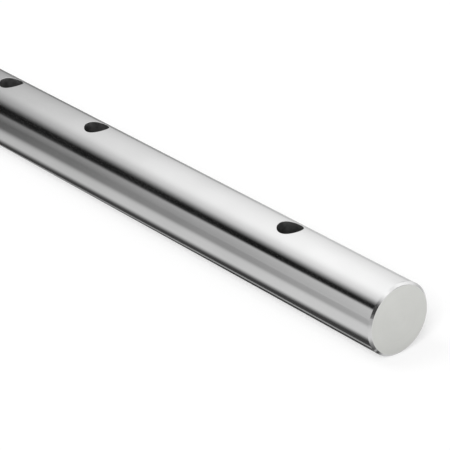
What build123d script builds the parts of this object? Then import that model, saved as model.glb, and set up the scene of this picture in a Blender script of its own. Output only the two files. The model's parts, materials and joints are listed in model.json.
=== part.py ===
from build123d import *
import math
import os

# Linear shaft: one solid round bar of hardened and ground steel, with a row of blind tapped
# holes along its crest for fastening it to a support rail.
# Millimetres. X runs along the shaft, the holes open upwards, and the origin is on the
# shaft's axis at mid-length.

# Round bar
shaft_diameter = 30.0
shaft_length = 500.0
end_chamfer = 1.0

# Row of holes: an even pitch centred on the shaft, and one more hole at mid-length
hole_pitch = 125.0
least_end_distance = 40.0
middle_hole_position = 0.0

# One tapped hole, with its depths measured down from the shaft's crest
thread_diameter = 10.0
tap_drill_diameter = 8.5
tap_drill_depth = 22.0
drill_point_angle = 118.0
relief_diameter = 10.5
relief_depth = 6.0
lead_in_angle = 90.0
cutter_overrun = 2.0

# The round face's seam runs along the lower front of the bar, clear of the holes and of the
# line that the bar rests on
seam_direction = (0, -1, -1)

shaft_radius = shaft_diameter / 2
thread_radius = thread_diameter / 2
tap_drill_radius = tap_drill_diameter / 2
relief_radius = relief_diameter / 2

# The row takes as many whole pitches as fit between its least distances from the two ends
pitch_count = int((shaft_length - 2 * least_end_distance) // hole_pitch)
row_positions = [(step - pitch_count / 2) * hole_pitch for step in range(pitch_count + 1)]
hole_positions = sorted({middle_hole_position, *row_positions})

# Half of the hole's turned profile, with its heights measured from the crest
lead_in_depth = (thread_radius - tap_drill_radius) / math.tan(math.radians(lead_in_angle / 2))
drill_point_depth = tap_drill_radius / math.tan(math.radians(drill_point_angle / 2))
hole_profile = [
    (0, cutter_overrun),
    (relief_radius, cutter_overrun),
    (relief_radius, -relief_depth),
    (thread_radius, -relief_depth),
    (tap_drill_radius, -relief_depth - lead_in_depth),
    (tap_drill_radius, -tap_drill_depth),
    (0, -tap_drill_depth - drill_point_depth),
]

# The material that one hole takes away: the relief through the hard skin, the thread's
# lead-in, the tap drill and its point, turned about Z with the crest at height 0
with BuildPart() as tapped_hole:
    with BuildSketch(Plane.XZ):
        with BuildLine():
            Polyline(*hole_profile, close=True)
        make_face()
    revolve(axis=Axis.Z)

# The shaft: a chamfered round bar with a hole cut at each place in the row
rear_end_plane = Plane(origin=(-shaft_length / 2, 0, 0), x_dir=seam_direction, z_dir=(1, 0, 0))
with BuildPart() as shaft:
    with BuildSketch(rear_end_plane):
        Circle(shaft_radius)
    extrude(amount=shaft_length)
    chamfer(shaft.edges().filter_by(GeomType.CIRCLE), length=end_chamfer)
    with Locations([(position, 0, shaft_radius) for position in hole_positions]):
        add(tapped_hole.part, mode=Mode.SUBTRACT)

shaft.part.label = "shaft"

os.makedirs("parts", exist_ok=True)
export_step(shaft.part, "parts/shaft.step")

print("holes at", hole_positions, "mm from mid-length")
print("volume", round(shaft.part.volume), "mm3")
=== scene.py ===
"""The linear shaft's looks: one fine mesh of the ground bar with its threaded holes, in a light tent on a
pale floor."""

import json
import math

import bmesh
import bpy
from mathutils import Matrix, Vector


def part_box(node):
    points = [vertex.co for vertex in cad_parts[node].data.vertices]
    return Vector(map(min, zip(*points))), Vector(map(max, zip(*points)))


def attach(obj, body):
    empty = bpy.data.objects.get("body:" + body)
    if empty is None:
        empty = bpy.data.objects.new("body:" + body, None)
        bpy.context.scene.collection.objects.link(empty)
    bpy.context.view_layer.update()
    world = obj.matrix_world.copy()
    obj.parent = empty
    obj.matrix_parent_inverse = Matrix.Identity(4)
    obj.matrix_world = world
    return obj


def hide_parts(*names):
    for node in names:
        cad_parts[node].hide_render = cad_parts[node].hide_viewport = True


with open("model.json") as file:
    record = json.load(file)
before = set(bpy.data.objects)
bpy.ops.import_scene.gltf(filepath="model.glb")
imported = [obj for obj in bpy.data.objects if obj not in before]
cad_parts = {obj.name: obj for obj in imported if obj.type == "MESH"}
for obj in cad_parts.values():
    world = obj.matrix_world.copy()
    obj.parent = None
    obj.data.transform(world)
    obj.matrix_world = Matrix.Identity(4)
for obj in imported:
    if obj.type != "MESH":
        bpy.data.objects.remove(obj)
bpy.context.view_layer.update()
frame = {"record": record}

MM = 0.001

# The shaft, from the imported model, in millimetres
mounts = frame["record"]["mounts"]
running_surface = next(mount for mount in mounts if mount["kind"] == "pin")
threaded_holes = [mount for mount in mounts if mount["kind"] == "threaded_hole"]
box_low, box_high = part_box("shaft")
half_length = (box_high.x - box_low.x) / 2 / MM
shaft_radius = running_surface["dims"]["r_mm"]
end_chamfer = half_length - running_surface["dims"]["length_mm"] / 2
hole_positions = [hole["pos_m"][0] / MM for hole in threaded_holes]
drill_radius = threaded_holes[0]["dims"]["r_mm"]
drill_wall_middle = threaded_holes[0]["pos_m"][2] / MM
drill_wall_bottom = drill_wall_middle - threaded_holes[0]["dims"]["length_mm"] / 2

# The tapped holes, in millimetres and degrees
relief_radius = 5.25
relief_depth = 6.0
ledge_height = shaft_radius - relief_depth
thread_radius = 5.0
thread_pitch = 1.5
thread_root_flat = thread_pitch / 8
flank_angle = 30.0
full_thread_length = 12.0
thread_fade_length = 2 * thread_pitch
thread_bottom = ledge_height - full_thread_length - thread_fade_length
drill_point_angle = 118.0

# Small edge breaks, in millimetres
mouth_edge_break = 0.16
chamfer_edge_break = 0.08

# How finely the mesh is divided, in millimetres and degrees. Rings lie at shares of their stretch.
segments = 144
corner_steps = 3
plain_bands = 4
face_rings = (1.0, 0.97, 0.85, 0.65, 0.45, 0.25, 0.08, 0.0)
patch_segments = 12
patch_half_length = 8.0
patch_rings = (0.05, 0.14, 0.3, 0.55, 1.0)
hole_columns = 8 * patch_segments
wall_rings = (0.0, 0.35, 0.7, 1.0)
cone_rings = (1.0, 0.5, 0.0)
snap_distance = 0.03
sharp_angle = 30.0

# Points that lie closer together than this, in metres, become one
merge_distance = 2e-6

# The mesh's materials in their order, and the kinds of surface that its normals follow
GROUND, TURNED, TAPPED = range(3)
OTHER, ROUND, FLAT, CONE = range(4)

# The photograph's camera: its angles in degrees, the image in pixels, its depth from the end face's
# centre along its line of view in shaft radii, its sensor in millimetres and its clipping in metres
camera_azimuth = 50.64
camera_elevation = 25.92
picture_size = 450
focal_pixels = 2496.9
end_centre_pixel = (399.5, 319.8)
camera_depth = 61.83
sensor_width = 36.0
clip_start = 0.01
clip_end = 100.0

# The light tent is a glowing arch over the shaft that lights nothing and that only metal mirrors: a painted
# reflection. Its glow paints on its front side a soft-edged light overhead and a grey card standing on the
# floor, with a dark gap between them, which the polished bar mirrors as a dark line. Places along the tent
# are in metres from mid-length, and a reach is such a distance without its sign.
# Heights are in degrees above the front horizon. A name that ends in fade holds where a change starts
# and where it is complete.
tent_radius = 0.9
tent_half_length = 1.7
tent_overhang = 1.0
tent_step = 0.05
tent_angle_step = 0.75

# The overhead light: full up to a reach, lower by its fall for each metre past it, then fading to its far
# level, and at the horizon a share of what it is at the top
light_level = 1.33
light_full_reach = 0.585
light_fall = 0.92
light_far_level = 0.1
light_far_fade = (0.7, 1.8)
light_at_horizon = 0.64
light_rise = 0.85

# The overhead light's front edge: a pair holds the values at the near and at the far reach
near_reach = 0.55
far_reach = 1.0
gap_top = 36.6
step_top = (59.5, 63.5)
step_level = (0.62, 0.5)
shoulder_foot = 45.0
shoulder_top = (88.0, 95.0)

# The grey card painted into the tent's glow: its edge sinks with the reach, and its foot's level is again a
# near and a far one
card_level = 0.68
card_far_level = 0.24
card_far_fade = (0.4, 1.15)
card_foot_level = (0.92, 0.7)
card_edge_level = 1.05
card_highest_edge = 31.0
card_edge = 26.5
card_edge_fall = 20.6
card_soft_below = 4.0
card_soft_above = 3.0

# The dark gap, and its two stretches on the tent's back side
gap_level = 0.008
middle_gap_start_fade = (-0.5, -0.35)
middle_gap_end_fade = (0.34, 0.22)
outer_gap_fade = (0.75, 1.0)

# The tent's stretch towards +X that the seen end's chamfer mirrors
chamfer_stretch_fade = (0.2, 0.5)
chamfer_light_gain = 1.07
chamfer_gap_level = 0.07

# The sheet under the shaft inside the tent is a painted reflection of the floor: it glows, lights nothing,
# and only metal mirrors it. It is light beside the shaft, greyer further out and darker towards -X, with a
# painted contact shadow where the shaft rests on it. Distances from the shaft's axis are in shaft radii, and
# the other lengths are in metres.
sheet_lift = 0.00005
sheet_gain = 1.057

# What changes evenly along the sheet: the lowest and the highest value, the one at mid-length and the
# rise for each metre towards +X
strip_level = (0.42, 0.74, 0.60, 0.75)
strip_edge = (2.3, 3.7, 2.55, 4.8)
grey_level = (0.13, 0.50, 0.128, 1.25)
painted_contact_shadow_edge = (0.90, 1.29, 0.95, 1.33)
line_distance = (0.45, 0.745, 0.52, 1.35)

# The sheet in front of the shaft
strip_softness = 1.0
grey_slant = 0.97
outer_grey_gain = 1.3
outer_grey_fade = (12.0, 30.0)

# The sheet behind the shaft, and the highest level that it has near the shaft and further out
back_slant = 0.9
back_level = 0.27
back_rise = 1.1
back_curve = 5.4
outer_back_gain = 0.9
outer_back_fade = (3.0, 7.0)
back_highest = (0.9, 0.62)

# The sheet where the shaft rests on it: a painted contact shadow, with a thin painted bright line on both
# sides
painted_contact_shadow_level = 0.05
contact_soft_inside = 0.18
contact_soft_outside = 0.30
line_strength = 0.5
line_half_width = 0.07

# The sheet at the shaft's ends: painted light that slants in under the shaft, and a painted reflection of
# nearly white floor past its ends, with one level at the end and one further out
slant_level = 0.72
slant_per_length = 3
slant_fade = (-0.0098, -0.006)
slant_outer_fade = (2.0, 1.0)
white_level = (0.79, 0.93)
white_rise_fade = (0.0, 0.045)
white_front_fade = (-0.015, -0.045)
white_outer_fade = (0.06, 0.15)

# Two soft lamps light the floor and the holes, and metal doesn't mirror them. The key light comes from
# the camera's side, so that most of the shadow falls behind the shaft. The top light, from above the
# far end, adds the shadow past the seen end face. Angles are in degrees.
lamps = {
    "key_light": {"comes_from": (0.49, -0.61, 0.58), "strength": 3.36, "angle": 28.0},
    "top_light": {"comes_from": (-0.45, -0.32, 0.84), "strength": 0.68, "angle": 30.0},
}

# The floor is white where the light falls on it and keeps the shaft's shadow. Away from the shaft it
# fades into the white background. The world's fill lights what isn't metal. Lengths are in metres.
floor_half_size = 30.0
floor_colour = 0.375
floor_lift = 0.642
floor_white_fade = (0.35, 1.1)
fill_level = 0.22


def between(start, end, share):
    return start + (end - start) * share


def smoothstep(start, end, value):
    """A smooth rise from 0 at the start to 1 at the end, which may lie on either side of the start."""
    share = min(max((value - start) / (end - start), 0.0), 1.0)
    return share * share * (3 - 2 * share)


def rounded_corner(before, corner, after, setback):
    """Points of a short curve that cuts a corner between two lines, as tuples of two numbers."""
    corner = Vector(corner)
    start = corner + (Vector(before) - corner).normalized() * setback
    end = corner + (Vector(after) - corner).normalized() * setback
    points = []
    for step in range(corner_steps + 1):
        share = step / corner_steps
        points.append(start.lerp(corner, share).lerp(corner.lerp(end, share), share))
    return [tuple(point) for point in points]


def height_on_shaft(y):
    return math.sqrt(shaft_radius**2 - y**2)


class Skin:
    """A mesh put together from grids of points, in millimetres, whose shared borders are merged."""

    def __init__(self):
        self.mesh = bmesh.new()
        self.kind = self.mesh.faces.layers.int.new("kind")

    def add_grid(self, rows, material, kind=OTHER):
        made = [[self.mesh.verts.new(Vector(point) * MM) for point in row] for row in rows]
        for upper, lower in zip(made, made[1:]):
            for column in range(len(upper) - 1):
                corners = (upper[column], upper[column + 1], lower[column + 1], lower[column])
                face = self.mesh.faces.new(corners)
                face.material_index = material
                face[self.kind] = kind
                face.smooth = True

    def finish(self, name):
        """Merges the grids into one closed mesh and puts it into the scene as an object."""
        bmesh.ops.remove_doubles(self.mesh, verts=self.mesh.verts[:], dist=merge_distance)
        bmesh.ops.dissolve_degenerate(self.mesh, edges=self.mesh.edges[:], dist=merge_distance)
        bmesh.ops.recalc_face_normals(self.mesh, faces=self.mesh.faces[:])
        kinds = [face[self.kind] for face in self.mesh.faces]
        open_edges = sum(not edge.is_manifold for edge in self.mesh.edges)
        self.mesh.faces.layers.int.remove(self.kind)
        data = bpy.data.meshes.new(name)
        self.mesh.to_mesh(data)
        self.mesh.free()
        data.set_sharp_from_angle(angle=math.radians(sharp_angle))
        data.normals_split_custom_set(corner_normals(data, kinds))
        piece = bpy.data.objects.new(name, data)
        bpy.context.scene.collection.objects.link(piece)
        print(name, len(data.polygons), "faces,", open_edges, "open edges")
        return piece


def corner_normals(data, kinds):
    """The true surface's normal at each face corner of the bar's own surfaces, and zero elsewhere."""
    normals = [(0.0, 0.0, 0.0)] * len(data.loops)
    for polygon in data.polygons:
        kind = kinds[polygon.index]
        side = math.copysign(1.0, polygon.normal.x)
        for loop in polygon.loop_indices:
            place = data.vertices[data.loops[loop].vertex_index].co
            outward = Vector((0.0, place.y, place.z)).normalized()
            if kind == ROUND:
                normals[loop] = outward
            elif kind == FLAT:
                normals[loop] = Vector((side, 0.0, 0.0))
            elif kind == CONE:
                normals[loop] = (outward + Vector((side, 0.0, 0.0))).normalized()
    return normals


def ring(x, radius, first=0, last=segments):
    """Points round the shaft's axis, from the crest towards -Y, between two of its segments."""
    angles = [2 * math.pi * step / segments for step in range(first, last + 1)]
    return [(x, -radius * math.sin(angle), radius * math.cos(angle)) for angle in angles]


def add_shaft_end(skin, side):
    """One end of the bar: the chamfer with its softened edges, and the flat face. What comes back is
    where the round surface ends."""
    chamfer_start = (half_length - end_chamfer, shaft_radius)
    chamfer_end = (half_length, shaft_radius - end_chamfer)
    outer = rounded_corner((0, shaft_radius), chamfer_start, chamfer_end, chamfer_edge_break)
    inner = rounded_corner(chamfer_start, chamfer_end, (half_length, 0), chamfer_edge_break)
    face = [(half_length, inner[-1][1] * share) for share in face_rings]
    stretches = ((outer, OTHER), ([outer[-1], inner[0]], CONE), (inner, OTHER), (face, FLAT))
    for profile, kind in stretches:
        material = TURNED if kind == FLAT else GROUND
        skin.add_grid([ring(side * x, radius) for x, radius in profile], material, kind)
    return outer[0][0]


def add_plain_band(skin, start, end):
    """A stretch of the ground surface that no hole breaks."""
    places = [between(start, end, step / plain_bands) for step in range(plain_bands + 1)]
    skin.add_grid([ring(x, shaft_radius) for x in places], GROUND, ROUND)


def add_round_surface(skin, ground_end):
    """The ground surface: whole rings between the holes, and the rings' lower stretch beside each patch."""
    band_start = -ground_end
    patch_steps = [step / patch_segments - 1 for step in range(2 * patch_segments + 1)]
    for x in hole_positions:
        add_plain_band(skin, band_start, x - patch_half_length)
        places = [x + patch_half_length * step for step in patch_steps]
        last_segment = segments - patch_segments
        lower = [ring(place, shaft_radius, patch_segments, last_segment) for place in places]
        skin.add_grid(lower, GROUND, ROUND)
        band_start = x + patch_half_length
    add_plain_band(skin, band_start, ground_end)


def patch_border(column):
    """Where a column of a hole's patch meets its border, as shares of its half length and half width."""
    quarter = 2 * patch_segments
    turns, step = divmod(column + patch_segments, quarter)
    along = step / patch_segments - 1.0
    return [(1.0, along), (-along, 1.0), (-1.0, -along), (along, -1.0)][turns % 4]


def hole_direction(column):
    """The direction from a hole's axis to a column of its grid, along the shaft and across it."""
    angle = 2 * math.pi * column / hole_columns
    return math.cos(angle), math.sin(angle)


def hole_circle(x, radius, height):
    """Points round a hole's axis. The height is one number, or a rule that gives it for each point's y."""
    points = []
    for column in range(hole_columns + 1):
        along, across = hole_direction(column)
        y = radius * across
        points.append((x + radius * along, y, height(y) if callable(height) else height))
    return points


def add_patch(skin, x):
    """The ground surface round a hole's mouth, out to a rectangle whose borders meet the bar's own grid."""
    mouth_radius = relief_radius + mouth_edge_break
    half_angle = 2 * math.pi * patch_segments / segments
    rows = [hole_circle(x, mouth_radius, height_on_shaft)]
    for share in patch_rings:
        row = []
        for column, (mouth_x, mouth_y, _) in enumerate(rows[0]):
            along, across = patch_border(column)
            point_x = between(mouth_x, x + along * patch_half_length, share)
            point_y = between(mouth_y, shaft_radius * math.sin(across * half_angle), share)
            row.append((point_x, point_y, height_on_shaft(point_y)))
        rows.append(row)
    skin.add_grid(rows, GROUND, ROUND)


def add_relief(skin, x):
    """The hole's broken mouth edge, its smooth upper wall and the ledge where the thread starts."""
    mouth = []
    for step in range(corner_steps + 1):
        share = step / corner_steps
        radius = relief_radius + mouth_edge_break * (1 - share) ** 2
        drop = mouth_edge_break * share**2
        mouth.append(hole_circle(x, radius, lambda y, drop=drop: height_on_shaft(y) - drop))
    skin.add_grid(mouth, GROUND)
    wall = []
    for share in wall_rings:
        def wall_height(y, share=share):
            return between(height_on_shaft(y) - mouth_edge_break, ledge_height, share)
        wall.append(hole_circle(x, relief_radius, wall_height))
    skin.add_grid(wall, TAPPED)
    ledge = [hole_circle(x, radius, ledge_height) for radius in (relief_radius, thread_radius)]
    skin.add_grid(ledge, TAPPED)


def thread_profile():
    """One pitch of the thread as pairs of an axial place and a share of the thread's depth."""
    flank = (thread_radius - drill_radius) * math.tan(math.radians(flank_angle))
    crest_end = thread_pitch - thread_root_flat - 2 * flank
    root_start = crest_end + flank
    root_end = root_start + thread_root_flat
    return [
        (0.0, 0.0),
        (crest_end, 0.0),
        (crest_end + flank / 2, 0.5),
        (root_start, 1.0),
        (root_end, 1.0),
        (root_end + flank / 2, 0.5),
    ]


def threaded_radius(height, share):
    """The hole's radius at a height and at a share of the thread's depth, with the thread's fading last
    turns and its 90 degree lead-in."""
    fade = min((height - thread_bottom) / thread_fade_length, 1.0)
    lead_in_radius = thread_radius - (ledge_height - height)
    return max(between(drill_radius, thread_radius, share * fade), lead_in_radius)


def add_thread(skin, x):
    """The hole's right-hand thread. The grid's rows climb with the helix, so that the profile's corners
    lie on them, and rows past the thread's ends shrink to nothing."""
    lowest_turn = math.floor(thread_bottom / thread_pitch) - 1
    highest_turn = math.ceil(ledge_height / thread_pitch)
    rows = []
    for turn in range(lowest_turn, highest_turn + 1):
        for place, share in thread_profile():
            row = []
            for column in range(hole_columns + 1):
                height = (turn + column / hole_columns) * thread_pitch + place
                height = ledge_height if height > ledge_height - snap_distance else height
                height = thread_bottom if height < thread_bottom + snap_distance else height
                radius = threaded_radius(height, share)
                along, across = hole_direction(column)
                row.append((x + radius * along, radius * across, height))
            rows.append(row)
    skin.add_grid(rows, TAPPED)


def add_drill_end(skin, x):
    """The plain drilled wall below the thread, and the drill's point."""
    wall = [hole_circle(x, drill_radius, height) for height in (thread_bottom, drill_wall_bottom)]
    skin.add_grid(wall, TAPPED)
    point_depth = drill_radius / math.tan(math.radians(drill_point_angle / 2))
    cone = []
    for share in cone_rings:
        cone.append(hole_circle(x, drill_radius * share, drill_wall_bottom - point_depth * (1 - share)))
    skin.add_grid(cone, TAPPED)


def make_shaft():
    skin = Skin()
    for side in (1, -1):
        ground_end = add_shaft_end(skin, side)
    add_round_surface(skin, ground_end)
    for x in hole_positions:
        add_patch(skin, x)
        add_relief(skin, x)
        add_thread(skin, x)
        add_drill_end(skin, x)
    return skin.finish("ground_shaft")


class Nodes:
    """The nodes of a material or a world, with short ways to add them."""

    def __init__(self, owner):
        owner.use_nodes = True
        self.nodes = owner.node_tree.nodes
        self.links = owner.node_tree.links

    def add(self, kind, **values):
        node = self.nodes.new(kind)
        for name, value in values.items():
            setattr(node, name, value)
        return node

    def calculate(self, operation, first, second):
        """The outcome of an operation on two values, each of them a number or another node's output."""
        node = self.add("ShaderNodeMath", operation=operation)
        for socket, value in zip(node.inputs, (first, second)):
            if isinstance(value, float):
                socket.default_value = value
            else:
                self.links.new(value, socket)
        return node.outputs["Value"]

    def smooth_range(self, value, start, end, low, high):
        """A smooth change from low, where a value is at its start, to high, where it is at its end."""
        scale = self.add("ShaderNodeMapRange", interpolation_type="SMOOTHSTEP")
        for name, number in (("From Min", start), ("From Max", end), ("To Min", low), ("To Max", high)):
            scale.inputs[name].default_value = number
        self.links.new(value, scale.inputs["Value"])
        return scale.outputs["Result"]

    def seen_rays(self):
        """1 for the camera's rays and for those that metal or glass sends on, and 0 for the light's own."""
        path = self.add("ShaderNodeLightPath")
        seen = path.outputs["Is Camera Ray"]
        for name in ("Is Glossy Ray", "Is Transmission Ray"):
            seen = self.calculate("MAXIMUM", seen, path.outputs[name])
        return seen


class Steel(Nodes):
    """A steel's material: one Principled shader, and the noise that varies it."""

    # Most of a noise texture's values lie between these two
    noise_low = 0.3
    noise_high = 0.7

    def __init__(self, name, metallic):
        self.data = bpy.data.materials.new(name)
        super().__init__(self.data)
        self.shader = self.nodes["Principled BSDF"]
        self.shader.inputs["Metallic"].default_value = metallic
        self.place = self.add("ShaderNodeTexCoord").outputs["Object"]

    def noise(self, scale, detail=2.0):
        """Noise whose grain is stretched by a scale for each axis, in features for each metre."""
        mapping = self.add("ShaderNodeMapping")
        mapping.inputs["Scale"].default_value = scale
        self.links.new(self.place, mapping.inputs["Vector"])
        texture = self.add("ShaderNodeTexNoise")
        texture.inputs["Scale"].default_value = 1.0
        texture.inputs["Detail"].default_value = detail
        self.links.new(mapping.outputs["Vector"], texture.inputs["Vector"])
        return texture.outputs["Fac"]

    def ring_noise(self, scale, detail=2.0):
        """Noise that depends on the distance from the shaft's axis alone, for turned faces."""
        flatten = self.add("ShaderNodeVectorMath", operation="MULTIPLY")
        flatten.inputs[1].default_value = (0.0, 1.0, 1.0)
        self.links.new(self.place, flatten.inputs[0])
        distance = self.add("ShaderNodeVectorMath", operation="LENGTH")
        self.links.new(flatten.outputs["Vector"], distance.inputs[0])
        texture = self.add("ShaderNodeTexNoise", noise_dimensions="1D")
        texture.inputs["Scale"].default_value = scale
        texture.inputs["Detail"].default_value = detail
        self.links.new(distance.outputs["Value"], texture.inputs["W"])
        return texture.outputs["Fac"]

    def spread(self, noise, low, high):
        """Turns noise into a number between low and high."""
        return self.smooth_range(noise, self.noise_low, self.noise_high, low, high)

    def feed(self, name, value):
        """Joins a node's output to an input of the shader."""
        self.links.new(value, self.shader.inputs[name])

    def blend_colour(self, noise, dark, light):
        mix = self.add("ShaderNodeMix", data_type="RGBA")
        self.links.new(self.spread(noise, 0.0, 1.0), mix.inputs["Factor"])
        mix.inputs["A"].default_value = (*dark, 1.0)
        mix.inputs["B"].default_value = (*light, 1.0)
        self.feed("Base Color", mix.outputs["Result"])

    def bump(self, noise, depth):
        """Raises and lowers the surface by noise, to a depth in metres."""
        node = self.add("ShaderNodeBump")
        node.inputs["Distance"].default_value = depth
        self.links.new(noise, node.inputs["Height"])
        self.feed("Normal", node.outputs["Normal"])


def ground_steel():
    """Centreless-ground and polished steel: hair-fine marks round the bar, faint streaks along it and a
    little cloudiness."""
    steel = Steel("ground_steel", metallic=1.0)
    grinding = steel.noise((2600.0, 30.0, 30.0), detail=3.0)
    streaks = steel.noise((5.0, 420.0, 420.0))
    clouds = steel.noise((28.0, 40.0, 40.0), detail=3.0)
    steel.blend_colour(clouds, dark=(0.68, 0.68, 0.68), light=(0.72, 0.72, 0.72))
    cloud_roughness = steel.spread(clouds, low=0.09, high=0.12)
    streak_roughness = steel.spread(streaks, low=0.0, high=0.03)
    steel.feed("Roughness", steel.calculate("ADD", cloud_roughness, streak_roughness))
    steel.bump(grinding, depth=0.0000008)
    return steel.data


def turned_steel():
    """The end faces: fine concentric tool marks, less bright than the ground surface."""
    steel = Steel("turned_steel", metallic=1.0)
    marks = steel.ring_noise(3200.0, detail=3.0)
    bands = steel.ring_noise(420.0)
    clouds = steel.noise((90.0, 90.0, 90.0))
    steel.blend_colour(bands, dark=(0.66, 0.665, 0.64), light=(0.68, 0.685, 0.66))
    cloud_roughness = steel.spread(clouds, low=0.3, high=0.36)
    band_roughness = steel.spread(bands, low=0.0, high=0.04)
    steel.feed("Roughness", steel.calculate("ADD", cloud_roughness, band_roughness))
    steel.shader.inputs["Anisotropic"].default_value = 0.55
    tangent = steel.add("ShaderNodeTangent", direction_type="RADIAL", axis="X")
    steel.feed("Tangent", tangent.outputs["Tangent"])
    steel.bump(marks, depth=0.000002)
    return steel.data


def tapped_steel():
    """The holes' walls: cut threads and drilled wall, coloured dark as painted shade in the holes."""
    steel = Steel("tapped_steel", metallic=0.9)
    wall_noise = steel.noise((260.0, 260.0, 260.0), detail=4.0)
    scratches = steel.noise((900.0, 900.0, 5200.0))
    # The walls' dark colour is painted shade in the holes.
    steel.blend_colour(wall_noise, dark=(0.14, 0.14, 0.14), light=(0.21, 0.21, 0.21))
    steel.feed("Roughness", steel.spread(wall_noise, low=0.38, high=0.55))
    steel.bump(scratches, depth=0.000012)
    return steel.data


def make_camera():
    """The photograph's camera, from its two angles and from where it shows the end face's centre."""
    azimuth = math.radians(camera_azimuth)
    elevation = math.radians(camera_elevation)
    right = Vector((math.cos(azimuth), math.sin(azimuth), 0.0))
    level_back = Vector((math.sin(azimuth), -math.cos(azimuth), 0.0))
    back = level_back * math.cos(elevation) + Vector((0.0, 0.0, math.sin(elevation)))
    up = back.cross(right)
    depth = camera_depth * shaft_radius * MM
    shift_right = (end_centre_pixel[0] - picture_size / 2) / focal_pixels * depth
    shift_up = (picture_size / 2 - end_centre_pixel[1]) / focal_pixels * depth
    end_centre = Vector((half_length * MM, 0.0, 0.0))
    data = bpy.data.cameras.new("camera")
    data.sensor_width = sensor_width
    data.lens = sensor_width * focal_pixels / picture_size
    data.clip_start = clip_start
    data.clip_end = clip_end
    camera = bpy.data.objects.new("camera", data)
    bpy.context.scene.collection.objects.link(camera)
    place = end_centre - right * shift_right - up * shift_up + back * depth
    turn = Matrix((right, up, back)).transposed().to_4x4()
    camera.matrix_world = Matrix.Translation(place) @ turn
    bpy.context.scene.camera = camera


def grid_faces(rows, columns):
    """The faces of a grid whose points are listed row by row."""
    faces = []
    for row in range(rows):
        for column in range(columns):
            first = row * (columns + 1) + column
            faces.append((first, first + 1, first + columns + 2, first + columns + 1))
    return faces


def glow_material(name):
    """Gives off light, as bright at each point as the mesh's glow says. A ray that has scattered off the
    floor or another dull surface doesn't meet this light, so the metal passes none of it on to the floor."""
    material = bpy.data.materials.new(name)
    tree = Nodes(material)
    tree.nodes.clear()
    glow = tree.add("ShaderNodeAttribute", attribute_name="glow")
    path = tree.add("ShaderNodeLightPath")
    before_scattering = tree.calculate("LESS_THAN", path.outputs["Diffuse Depth"], 0.5)
    strength = tree.calculate("MULTIPLY", glow.outputs["Fac"], before_scattering)
    light = tree.add("ShaderNodeEmission")
    output = tree.add("ShaderNodeOutputMaterial")
    tree.links.new(strength, light.inputs["Strength"])
    tree.links.new(light.outputs["Emission"], output.inputs["Surface"])
    return material


def glowing_stage(name, points, faces, glows):
    """A glowing stage mesh that lights nothing and that only metal mirrors, a painted reflection, with a
    glow for each of its points.
    """
    data = bpy.data.meshes.new(name)
    data.from_pydata(points, [], faces)
    attribute = data.attributes.new("glow", "FLOAT", "POINT")
    attribute.data.foreach_set("value", glows)
    data.materials.append(glow_material(name))
    piece = bpy.data.objects.new(name, data)
    bpy.context.scene.collection.objects.link(piece)
    piece.visible_camera = False
    piece.visible_diffuse = False
    piece.visible_shadow = False


def near_to_far(pair, reach):
    """A value that changes evenly from the one at the near reach to the one at the far reach."""
    return between(*pair, (reach - near_reach) / (far_reach - near_reach))


def light_glow(reach, angle):
    """The overhead light's level at a reach along the tent and an angle from the +Y horizon."""
    level = light_level - light_fall * max(reach - light_full_reach, 0.0)
    level = between(level, light_far_level, smoothstep(*light_far_fade, reach))
    height_share = max(math.sin(math.radians(angle)), 0.0)
    return level * between(light_at_horizon, 1.0, height_share**light_rise)


def front_edge(reach, height):
    """The share of the overhead light that is left near its front edge: a steep step and a long shoulder."""
    step = smoothstep(gap_top, near_to_far(step_top, reach), height)
    shoulder = smoothstep(shoulder_foot, near_to_far(shoulder_top, reach), height)
    return step * between(near_to_far(step_level, reach), 1.0, shoulder)


def card_glow(reach, height):
    """The level of the grey card painted into the tent's glow, which ends at the dark gap's lower edge."""
    level = between(card_level, card_far_level, smoothstep(*card_far_fade, reach))
    edge = min(card_highest_edge, card_edge - card_edge_fall * (reach - near_reach))
    upward = between(near_to_far(card_foot_level, reach), card_edge_level, height / edge)
    cut = smoothstep(edge - card_soft_below, edge + card_soft_above, height)
    return level * upward * (1 - cut)


def back_gap(x):
    """How much of the dark gap the tent's back side has at x."""
    middle = smoothstep(*middle_gap_start_fade, x) * smoothstep(*middle_gap_end_fade, x)
    return middle + smoothstep(*outer_gap_fade, x)


def tent_glow(x, angle):
    """How bright the tent is at x metres along it and at an angle in degrees from the +Y horizon. The
    dark gap runs along the whole front side, and along two stretches of the back side. Towards +X the
    light keeps its level for longer, and in the chamfer's stretch the gap isn't quite dark."""
    reach = -x if x < 0 else x / 2
    chamfer_share = smoothstep(*chamfer_stretch_fade, x)
    glow = light_glow(reach, angle) * between(1.0, chamfer_light_gain, chamfer_share)
    height = min(angle, 180.0 - angle)
    with_gap = glow * front_edge(abs(x), height) + card_glow(abs(x), height)
    gap_share = 1.0 if angle > 90 else back_gap(x)
    lowest = between(gap_level, chamfer_gap_level, chamfer_share)
    return max(between(glow, with_gap, gap_share), lowest)


# The tent is a painted reflection: a glowing mesh that lights nothing and that only metal mirrors
def make_tent():
    turns = round((180 + 2 * tent_overhang) / tent_angle_step)
    steps = round(2 * tent_half_length / tent_step)
    points = []
    glows = []
    for turn in range(turns + 1):
        angle = turn * tent_angle_step - tent_overhang
        y = tent_radius * math.cos(math.radians(angle))
        z = tent_radius * math.sin(math.radians(angle))
        for step in range(steps + 1):
            x = step * tent_step - tent_half_length
            points.append((x, y, z))
            glows.append(tent_glow(x, angle))
    glowing_stage("light_tent", points, grid_faces(turns, steps), glows)


def ramp(values, x):
    """What changes evenly along the sheet, at x metres from mid-length."""
    lowest, highest, at_middle, rise = values
    return min(max(at_middle + rise * x, lowest), highest)


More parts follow.
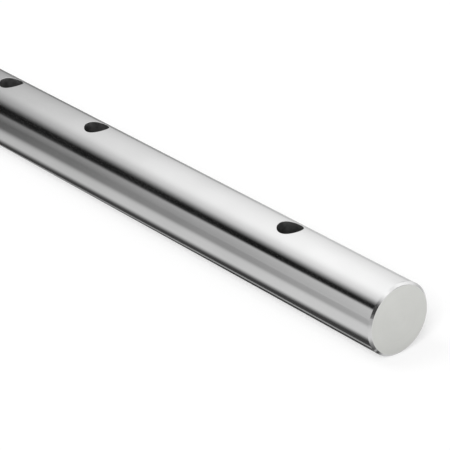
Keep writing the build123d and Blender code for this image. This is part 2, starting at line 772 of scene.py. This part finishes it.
def front_sheet(x, distance):
    """The sheet's level in front of the shaft: a light strip, and then grey."""
    strip = ramp(strip_level, x)
    grey = ramp(grey_level, x + grey_slant * distance * shaft_radius * MM)
    grey *= between(1.0, outer_grey_gain, smoothstep(*outer_grey_fade, distance))
    edge = ramp(strip_edge, x)
    return between(strip, grey, smoothstep(edge - strip_softness, edge + strip_softness, distance))


def back_sheet(x, distance):
    """The sheet's level behind the shaft, which fades along the direction that the camera looks in."""
    along = max(x + back_slant * distance * shaft_radius * MM, 0.0)
    outer_share = smoothstep(*outer_back_fade, distance)
    level = back_level + back_rise * along + back_curve * along**2
    return min(level * between(1.0, outer_back_gain, outer_share), between(*back_highest, outer_share))


def with_painted_contact_shadow(level, x, distance):
    """A level of the sheet with the painted contact shadow where the shaft rests on it, and its painted
    bright lines.
    """
    edge = ramp(painted_contact_shadow_edge, x)
    clear_share = smoothstep(edge - contact_soft_inside, edge + contact_soft_outside, distance)
    off_line = abs(distance - ramp(line_distance, x))
    line = line_strength * (1 - smoothstep(0.0, line_half_width, off_line))
    # Painted shadow where the shaft rests, and painted bright lines beside it
    return between(painted_contact_shadow_level, level, clear_share) + line


def slanting_light(past_end, y, distance):
    """How much of the painted light that slants in from behind under the shaft's end lies on the sheet."""
    share = smoothstep(*slant_fade, y + slant_per_length * past_end)
    return share * smoothstep(*slant_outer_fade, distance)


def sheet_glow(x, y):
    """How bright the sheet is at a place in metres."""
    distance = abs(y) / (shaft_radius * MM)
    level = front_sheet(x, distance) if y < 0 else back_sheet(x, distance)
    level = with_painted_contact_shadow(level, x, distance)
    past_end = abs(x) - half_length * MM
    if past_end <= 0:
        level = between(level, slant_level, slanting_light(past_end, y, distance))
    else:
        # Painted reflection of white floor past the shaft's end
        white = between(*white_level, smoothstep(*white_rise_fade, past_end))
        front_share = smoothstep(*white_front_fade, y)
        outer_share = smoothstep(*white_outer_fade, math.hypot(past_end, y))
        level = between(white, level, max(front_share, outer_share))
    return level * sheet_gain


def stations(step, even_steps, growth, last):
    """Numbers on both sides of 0, out to the last: some even steps, and then steps that grow."""
    places = [step * count for count in range(even_steps + 1)]
    while places[-1] + step * growth < last:
        step *= growth
        places.append(places[-1] + step)
    places.append(last)
    return [-place for place in reversed(places[1:])] + places


# The painted floor reflection: a glowing sheet that only metal mirrors
def make_sheet():
    along = stations(step=0.01, even_steps=34, growth=1.15, last=tent_half_length)
    across = stations(step=0.05 * shaft_radius * MM, even_steps=40, growth=1.1, last=tent_radius)
    height = -shaft_radius * MM + sheet_lift
    points = [(x, y, height) for y in across for x in along]
    glows = [sheet_glow(x, y) for x, y, _ in points]
    glowing_stage("painted_reflection_sheet", points, grid_faces(len(across) - 1, len(along) - 1), glows)


def make_lamps():
    for name, lamp in lamps.items():
        data = bpy.data.lights.new(name, "SUN")
        data.energy = lamp["strength"]
        data.angle = math.radians(lamp["angle"])
        light = bpy.data.objects.new(name, data)
        light.rotation_mode = "QUATERNION"
        light.rotation_quaternion = Vector(lamp["comes_from"]).to_track_quat("Z", "Y")
        light.visible_glossy = False
        bpy.context.scene.collection.objects.link(light)


def floor_material():
    """Pale paper, lifted to white for seen rays, which keeps the shaft's shadow near the shaft and turns
    into plain white further out."""
    material = bpy.data.materials.new("floor")
    tree = Nodes(material)
    tree.nodes.clear()
    seen = tree.seen_rays()
    paper = tree.add("ShaderNodeBsdfDiffuse")
    paper.inputs["Color"].default_value = (floor_colour, floor_colour, floor_colour, 1.0)
    lift = tree.add("ShaderNodeEmission")
    tree.links.new(tree.calculate("MULTIPLY", seen, floor_lift), lift.inputs["Strength"])
    near = tree.add("ShaderNodeAddShader")
    tree.links.new(paper.outputs["BSDF"], near.inputs[0])
    tree.links.new(lift.outputs["Emission"], near.inputs[1])
    place = tree.add("ShaderNodeTexCoord")
    distance = tree.add("ShaderNodeVectorMath", operation="LENGTH")
    tree.links.new(place.outputs["Object"], distance.inputs[0])
    far_share = tree.smooth_range(distance.outputs["Value"], *floor_white_fade, 0.0, 1.0)
    white = tree.add("ShaderNodeEmission")
    mix = tree.add("ShaderNodeMixShader")
    tree.links.new(tree.calculate("MULTIPLY", far_share, seen), mix.inputs["Fac"])
    tree.links.new(near.outputs["Shader"], mix.inputs[1])
    tree.links.new(white.outputs["Emission"], mix.inputs[2])
    output = tree.add("ShaderNodeOutputMaterial")
    tree.links.new(mix.outputs["Shader"], output.inputs["Surface"])
    return material


def make_floor():
    size = floor_half_size
    height = -shaft_radius * MM
    corners = [(-size, -size, height), (size, -size, height), (size, size, height), (-size, size, height)]
    data = bpy.data.meshes.new("floor")
    data.from_pydata(corners, [], [(0, 1, 2, 3)])
    data.materials.append(floor_material())
    floor = bpy.data.objects.new("floor", data)
    bpy.context.scene.collection.objects.link(floor)


def make_world():
    """White for what the camera sees and metal mirrors, and a soft fill for everything else."""
    world = bpy.data.worlds.new("studio")
    tree = Nodes(world)
    background = tree.nodes["Background"]
    background.inputs["Color"].default_value = (1.0, 1.0, 1.0, 1.0)
    level = tree.smooth_range(tree.seen_rays(), 0.0, 1.0, fill_level, 1.0)
    tree.links.new(level, background.inputs["Strength"])
    bpy.context.scene.world = world


make_camera()
shaft = make_shaft()
for material in (ground_steel(), turned_steel(), tapped_steel()):
    shaft.data.materials.append(material)
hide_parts("shaft")
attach(shaft, "root")
make_tent()
make_sheet()
make_lamps()
make_floor()
make_world()
bpy.context.scene.view_settings.view_transform = "Standard"
